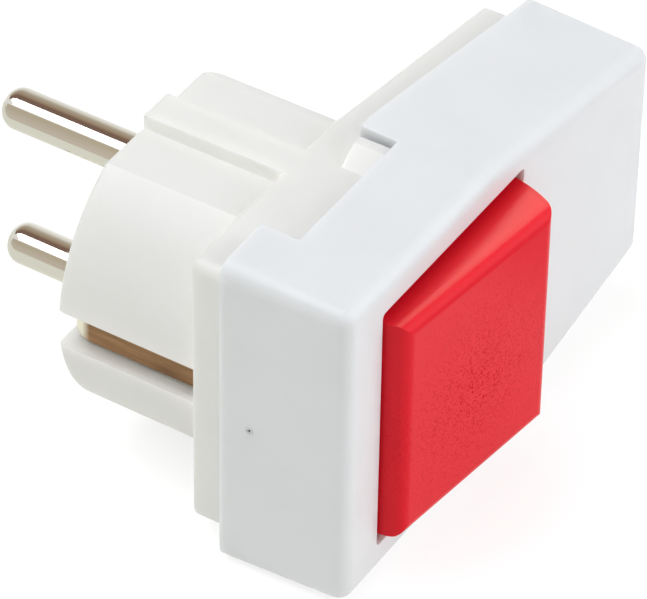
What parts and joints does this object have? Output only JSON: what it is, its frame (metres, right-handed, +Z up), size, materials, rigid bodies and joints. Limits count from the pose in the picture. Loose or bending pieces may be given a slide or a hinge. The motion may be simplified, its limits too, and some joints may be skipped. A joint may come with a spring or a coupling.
{
  "type": "rcd adapter plug",
  "caption": "Two-pin earthed mains plug with a flat tapered housing, a large tilting switch and a residual current unit inside; bare cable inlet in its far end.",
  "frame": {"origin": "midway between the two pins, on the end face of the round boss that carries them", "axes": "+Y the way the pins point, +Z up, +X along the housing to its tapered end; the rocker faces -Y"},
  "size_m": [0.063, 0.0613, 0.041],
  "materials": {
    "white_plastic": "satin white thermoset, faintly blue",
    "ivory_plastic": "satin white thermoset, a little warmer than the cover",
    "red_plastic": "satin red",
    "nickel": "polished nickel plate",
    "steel": "zinc plated",
    "bronze": "dull spring bronze",
    "brass": "plain",
    "copper": "varnished copper",
    "black_plastic": "matte",
    "cream_plastic": "matte",
    "green_board": "solder-masked laminate",
    "capacitor_film": "dipped film capacitor",
    "brown_sleeve": "soft insulation",
    "blue_sleeve": "soft insulation",
    "green_sleeve": "soft insulation"
  },
  "bodies": {
    "housing": {"front_cover": "white_plastic", "rear_base": "ivory_plastic", "live_pin": "nickel", "neutral_pin": "nickel", "pivot_pin": "steel", "earth_strap": "bronze", "housing_screws": "steel", "clamp_screws": "steel", "terminal_screws": "steel", "cord_clamp": "black_plastic", "switch_base": "black_plastic", "switch_frame": "black_plastic", "coil_bobbin": "cream_plastic", "detent_spring": "steel", "live_line_contact": "brass", "live_load_contact": "brass", "neutral_line_contact": "brass", "neutral_load_contact": "brass", "coil_yoke": "steel", "coil_winding": "copper", "sensor_core": "steel", "sensor_winding": "copper", "circuit_board": "green_board", "amplifier_chip": "black_plastic", "filter_capacitor": "capacitor_film", "thyristor": "black_plastic", "live_terminal": "brass", "earth_terminal": "brass", "neutral_terminal": "brass", "live_line_lead": "brown_sleeve", "live_load_lead": "brown_sleeve", "neutral_line_lead": "blue_sleeve", "neutral_load_lead": "blue_sleeve", "earth_lead": "green_sleeve"},
    "rocker": {"rocker": "red_plastic"},
    "slider": {"contact_slider": "cream_plastic", "live_bridge": "copper", "neutral_bridge": "copper", "armature": "steel"},
    "detent": {"detent_plunger": "brass"}
  },
  "joints": [
    {"name": "rocker_tilt", "type": "hinge", "parent": "housing", "child": "rocker", "pos_m": [0, -0.0346, 0], "axis": [0, 0, 1], "range_deg": [0, 13.2]},
    {"name": "slider_slide", "type": "slide", "parent": "housing", "child": "slider", "axis": [1, 0, 0], "range_m": [-0.0021, 0]},
    {"name": "detent_slide", "type": "slide", "parent": "housing", "child": "detent", "axis": [0, 0, 1], "range_m": [0, 0.0006], "stiffness_N_per_m": 400, "springref_m": -0.001, "deforming": ["detent_spring"]}
  ],
  "couplings": [
    {"joint": "slider_slide", "follows": "rocker_tilt", "m_per_rad": -0.009}
  ]
}
